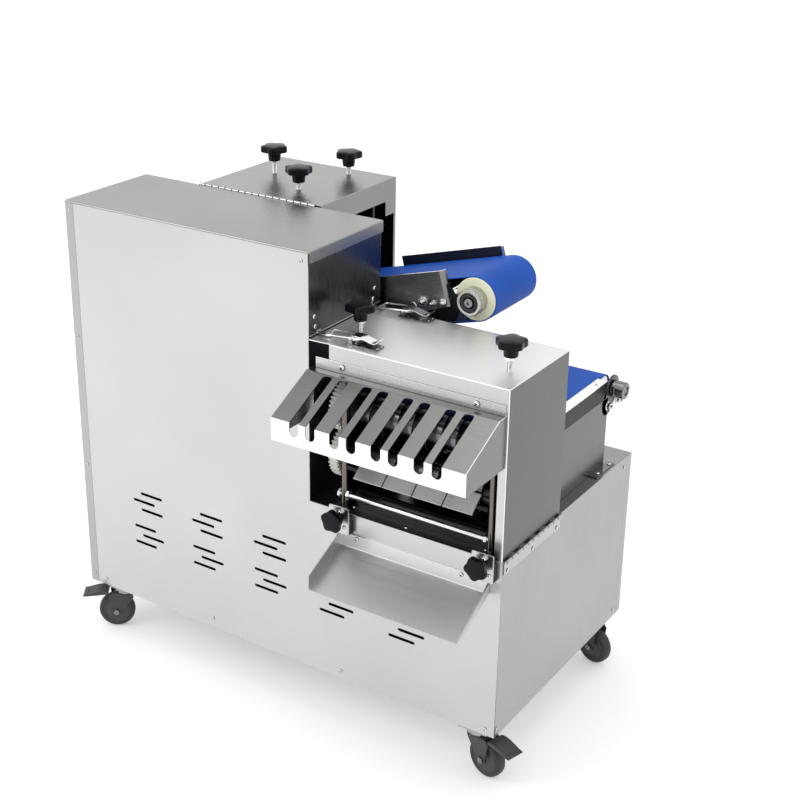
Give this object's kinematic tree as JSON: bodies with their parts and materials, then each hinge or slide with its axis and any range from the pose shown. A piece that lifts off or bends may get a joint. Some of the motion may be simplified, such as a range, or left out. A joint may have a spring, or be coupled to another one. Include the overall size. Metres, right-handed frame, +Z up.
{
  "type": "meat dicing machine",
  "caption": "Wheeled stainless machine that slices meat into strips in an upper head, carries them on belts and dices them in a lower head.",
  "frame": {"origin": "bottom centre of the bounding box, on the floor under the casters", "axes": "+X to the right along the front, +Y towards the back, +Z up"},
  "size_m": [1.0364, 0.6414, 0.9795],
  "materials": {
    "brushed_stainless": "fine vertical brushing, satin",
    "polished_steel": "bright polished",
    "dark_steel": "darker machined plate",
    "blue_belt": "satin food-grade belt",
    "cream_nylon": "machined cast nylon",
    "white_nylon": "machined nylon",
    "black_plastic": "moulded, glossy domed",
    "black_rubber": "moulded rubber",
    "black_paint": "satin black",
    "motor_paint": "satin grey-blue"
  },
  "bodies": {
    "machine": {"back_panel": "brushed_stainless", "base_deck": "brushed_stainless", "base_floor": "brushed_stainless", "clamp_left": "brushed_stainless", "clamp_right": "brushed_stainless", "comb_rack": "brushed_stainless", "discharge_chute": "brushed_stainless", "feed_belt": "blue_belt", "feed_frame": "brushed_stainless", "front_panel": "brushed_stainless", "guide_rods": "polished_steel", "infeed_tray": "brushed_stainless", "left_panel": "brushed_stainless", "lower_gear_motor": "motor_paint", "lower_head_frame": "dark_steel", "lower_hinge_leaf": "polished_steel", "outfeed_belt": "blue_belt", "outfeed_frame": "dark_steel", "right_panel": "brushed_stainless", "tower_lid": "brushed_stainless", "tower_wrap": "brushed_stainless", "upper_gear_motor": "motor_paint", "upper_head_frame": "brushed_stainless"},
    "upper_cover": {"upper_cover": "brushed_stainless"},
    "upper_knob_left": {"upper_knob_left": "black_plastic"},
    "upper_knob_front": {"upper_knob_front": "black_plastic"},
    "upper_knob_back": {"upper_knob_back": "black_plastic"},
    "lower_cover": {"lower_cover": "brushed_stainless", "slotted_guard": "brushed_stainless", "latch_base_front": "polished_steel", "latch_base_back": "polished_steel"},
    "lower_knob_left": {"lower_knob_left": "black_plastic"},
    "lower_knob_right": {"lower_knob_right": "black_plastic"},
    "latch_lever_front": {"latch_lever_front": "polished_steel"},
    "latch_bail_front": {"latch_bail_front": "polished_steel"},
    "latch_lever_back": {"latch_lever_back": "polished_steel"},
    "latch_bail_back": {"latch_bail_back": "polished_steel"},
    "clamp_knob_left": {"clamp_knob_left": "black_plastic"},
    "clamp_knob_right": {"clamp_knob_right": "black_plastic"},
    "upper_cutter_bottom": {"upper_cutter_bottom": "polished_steel"},
    "upper_cutter_top": {"upper_cutter_top": "polished_steel"},
    "lower_cutter_bottom": {"lower_cutter_bottom": "polished_steel", "lower_gear_bottom": "white_nylon"},
    "lower_cutter_top": {"lower_cutter_top": "polished_steel", "lower_gear_top": "white_nylon"},
    "outfeed_end_roller": {"outfeed_end_roller": "cream_nylon"},
    "outfeed_tail_roller": {"outfeed_tail_roller": "cream_nylon"},
    "feed_back_roller": {"feed_back_roller": "polished_steel"},
    "feed_front_roller": {"feed_front_roller": "polished_steel"},
    "main_switch": {"main_switch": "black_plastic"},
    "caster_fork_front_left": {"caster_fork_front_left": "black_paint"},
    "caster_wheel_front_left": {"caster_wheel_front_left": "black_rubber"},
    "brake_pedal_front_left": {"brake_pedal_front_left": "black_plastic"},
    "caster_fork_front_right": {"caster_fork_front_right": "black_paint"},
    "caster_wheel_front_right": {"caster_wheel_front_right": "black_rubber"},
    "brake_pedal_front_right": {"brake_pedal_front_right": "black_plastic"},
    "caster_fork_back_left": {"caster_fork_back_left": "black_paint"},
    "caster_wheel_back_left": {"caster_wheel_back_left": "black_rubber"},
    "caster_fork_back_right": {"caster_fork_back_right": "black_paint"},
    "caster_wheel_back_right": {"caster_wheel_back_right": "black_rubber"}
  },
  "joints": [
    {"name": "upper_cover_hinge", "type": "hinge", "parent": "machine", "child": "upper_cover", "pos_m": [-0.20824, 0.03735, 0.9215], "axis": [1, 0, 0], "range_deg": [0, 95]},
    {"name": "upper_knob_left_turn", "type": "hinge", "parent": "upper_cover", "child": "upper_knob_left", "pos_m": [-0.28224, 0.18775, 0.9215], "axis": [0, 0, 1], "continuous": true},
    {"name": "upper_knob_front_turn", "type": "hinge", "parent": "upper_cover", "child": "upper_knob_front", "pos_m": [-0.16824, 0.11425, 0.9215], "axis": [0, 0, 1], "continuous": true},
    {"name": "upper_knob_back_turn", "type": "hinge", "parent": "upper_cover", "child": "upper_knob_back", "pos_m": [-0.15424, 0.26475, 0.9215], "axis": [0, 0, 1], "continuous": true},
    {"name": "lower_cover_hinge", "type": "hinge", "parent": "machine", "child": "lower_cover", "pos_m": [0.47606, -0.09725, 0.451], "axis": [0, 1, 0], "range_deg": [0, 100]},
    {"name": "lower_knob_left_turn", "type": "hinge", "parent": "lower_cover", "child": "lower_knob_left", "pos_m": [0.12876, -0.11225, 0.7643], "axis": [0, 0, 1], "continuous": true},
    {"name": "lower_knob_right_turn", "type": "hinge", "parent": "lower_cover", "child": "lower_knob_right", "pos_m": [0.43426, -0.12875, 0.7643], "axis": [0, 0, 1], "continuous": true},
    {"name": "latch_lever_front_pivot", "type": "hinge", "parent": "lower_cover", "child": "latch_lever_front", "pos_m": [0.15176, -0.16725, 0.7741], "axis": [0, -1, 0], "range_deg": [0, 75]},
    {"name": "latch_bail_front_pivot", "type": "hinge", "parent": "latch_lever_front", "child": "latch_bail_front", "pos_m": [0.16476, -0.16725, 0.7786], "axis": [0, -1, 0], "range_deg": [-75, 0]},
    {"name": "latch_lever_back_pivot", "type": "hinge", "parent": "lower_cover", "child": "latch_lever_back", "pos_m": [0.15176, -0.00125, 0.7741], "axis": [0, -1, 0], "range_deg": [0, 75]},
    {"name": "latch_bail_back_pivot", "type": "hinge", "parent": "latch_lever_back", "child": "latch_bail_back", "pos_m": [0.16476, -0.00125, 0.7786], "axis": [0, -1, 0], "range_deg": [-75, 0]},
    {"name": "clamp_knob_left_turn", "type": "hinge", "parent": "machine", "child": "clamp_knob_left", "pos_m": [0.15076, -0.21105, 0.447], "axis": [0, -1, 0], "continuous": true},
    {"name": "clamp_knob_right_turn", "type": "hinge", "parent": "machine", "child": "clamp_knob_right", "pos_m": [0.44176, -0.21105, 0.447], "axis": [0, -1, 0], "continuous": true},
    {"name": "upper_cutter_bottom_spin", "type": "hinge", "parent": "machine", "child": "upper_cutter_bottom", "pos_m": [-0.19824, -0.02925, 0.732], "axis": [0, 1, 0], "continuous": true},
    {"name": "upper_cutter_top_spin", "type": "hinge", "parent": "machine", "child": "upper_cutter_top", "pos_m": [-0.19824, -0.02925, 0.822], "axis": [0, 1, 0], "continuous": true},
    {"name": "lower_cutter_bottom_spin", "type": "hinge", "parent": "machine", "child": "lower_cutter_bottom", "pos_m": [0.09876, -0.12125, 0.531], "axis": [1, 0, 0], "continuous": true},
    {"name": "lower_cutter_top_spin", "type": "hinge", "parent": "machine", "child": "lower_cutter_top", "pos_m": [0.09876, -0.12125, 0.621], "axis": [1, 0, 0], "continuous": true},
    {"name": "outfeed_end_roller_spin", "type": "hinge", "parent": "machine", "child": "outfeed_end_roller", "pos_m": [0.26376, 0.05775, 0.801], "axis": [0, 1, 0], "continuous": true},
    {"name": "outfeed_tail_roller_spin", "type": "hinge", "parent": "machine", "child": "outfeed_tail_roller", "pos_m": [-0.08794, 0.05775, 0.70347], "axis": [0, 1, 0], "continuous": true},
    {"name": "feed_back_roller_spin", "type": "hinge", "parent": "machine", "child": "feed_back_roller", "pos_m": [0.14776, 0.25875, 0.6025], "axis": [1, 0, 0], "continuous": true},
    {"name": "feed_front_roller_spin", "type": "hinge", "parent": "machine", "child": "feed_front_roller", "pos_m": [0.14776, -0.03225, 0.6025], "axis": [1, 0, 0], "continuous": true},
    {"name": "main_switch_turn", "type": "hinge", "parent": "machine", "child": "main_switch", "pos_m": [-0.48824, -0.13725, 0.8], "axis": [-1, 0, 0], "range_deg": [0, 90]},
    {"name": "caster_front_left_swivel", "type": "hinge", "parent": "machine", "child": "caster_fork_front_left", "pos_m": [-0.42024, -0.16625, 0.1], "axis": [0, 0, 1], "continuous": true},
    {"name": "caster_front_left_roll", "type": "hinge", "parent": "caster_fork_front_left", "child": "caster_wheel_front_left", "pos_m": [-0.43826, -0.17887, 0.0375], "axis": [0.5736, -0.8192, 0], "continuous": true},
    {"name": "brake_pedal_front_left_press", "type": "hinge", "parent": "caster_fork_front_left", "child": "brake_pedal_front_left", "pos_m": [-0.45309, -0.18925, 0.0822], "axis": [0.5736, -0.8192, 0], "range_deg": [0, 10]},
    {"name": "caster_front_right_swivel", "type": "hinge", "parent": "machine", "child": "caster_fork_front_right", "pos_m": [0.42676, -0.16625, 0.1], "axis": [0, 0, 1], "continuous": true},
    {"name": "caster_front_right_roll", "type": "hinge", "parent": "caster_fork_front_right", "child": "caster_wheel_front_right", "pos_m": [0.44791, -0.17231, 0.0375], "axis": [0.2756, 0.9613, 0], "continuous": true},
    {"name": "brake_pedal_front_right_press", "type": "hinge", "parent": "caster_fork_front_right", "child": "brake_pedal_front_right", "pos_m": [0.46531, -0.1773, 0.0822], "axis": [0.2756, 0.9613, 0], "range_deg": [0, 10]},
    {"name": "caster_back_left_swivel", "type": "hinge", "parent": "machine", "child": "caster_fork_back_left", "pos_m": [-0.42024, 0.27275, 0.1], "axis": [0, 0, 1], "continuous": true},
    {"name": "caster_back_left_roll", "type": "hinge", "parent": "caster_fork_back_left", "child": "caster_wheel_back_left", "pos_m": [-0.44091, 0.26523, 0.0375], "axis": [0.342, -0.9397, 0], "continuous": true},
    {"name": "caster_back_right_swivel", "type": "hinge", "parent": "machine", "child": "caster_fork_back_right", "pos_m": [0.42676, 0.27275, 0.1], "axis": [0, 0, 1], "continuous": true},
    {"name": "caster_back_right_roll", "type": "hinge", "parent": "caster_fork_back_right", "child": "caster_wheel_back_right", "pos_m": [0.44791, 0.26669, 0.0375], "axis": [0.2756, 0.9613, 0], "continuous": true}
  ],
  "couplings": [
    {"joint": "latch_bail_front_pivot", "follows": "latch_lever_front_pivot", "ratio": -1},
    {"joint": "latch_bail_back_pivot", "follows": "latch_lever_back_pivot", "ratio": -1},
    {"joint": "upper_cutter_top_spin", "follows": "upper_cutter_bottom_spin", "ratio": -1},
    {"joint": "lower_cutter_top_spin", "follows": "lower_cutter_bottom_spin", "ratio": -1},
    {"joint": "outfeed_tail_roller_spin", "follows": "outfeed_end_roller_spin", "ratio": 1},
    {"joint": "feed_front_roller_spin", "follows": "feed_back_roller_spin", "ratio": 1}
  ]
}
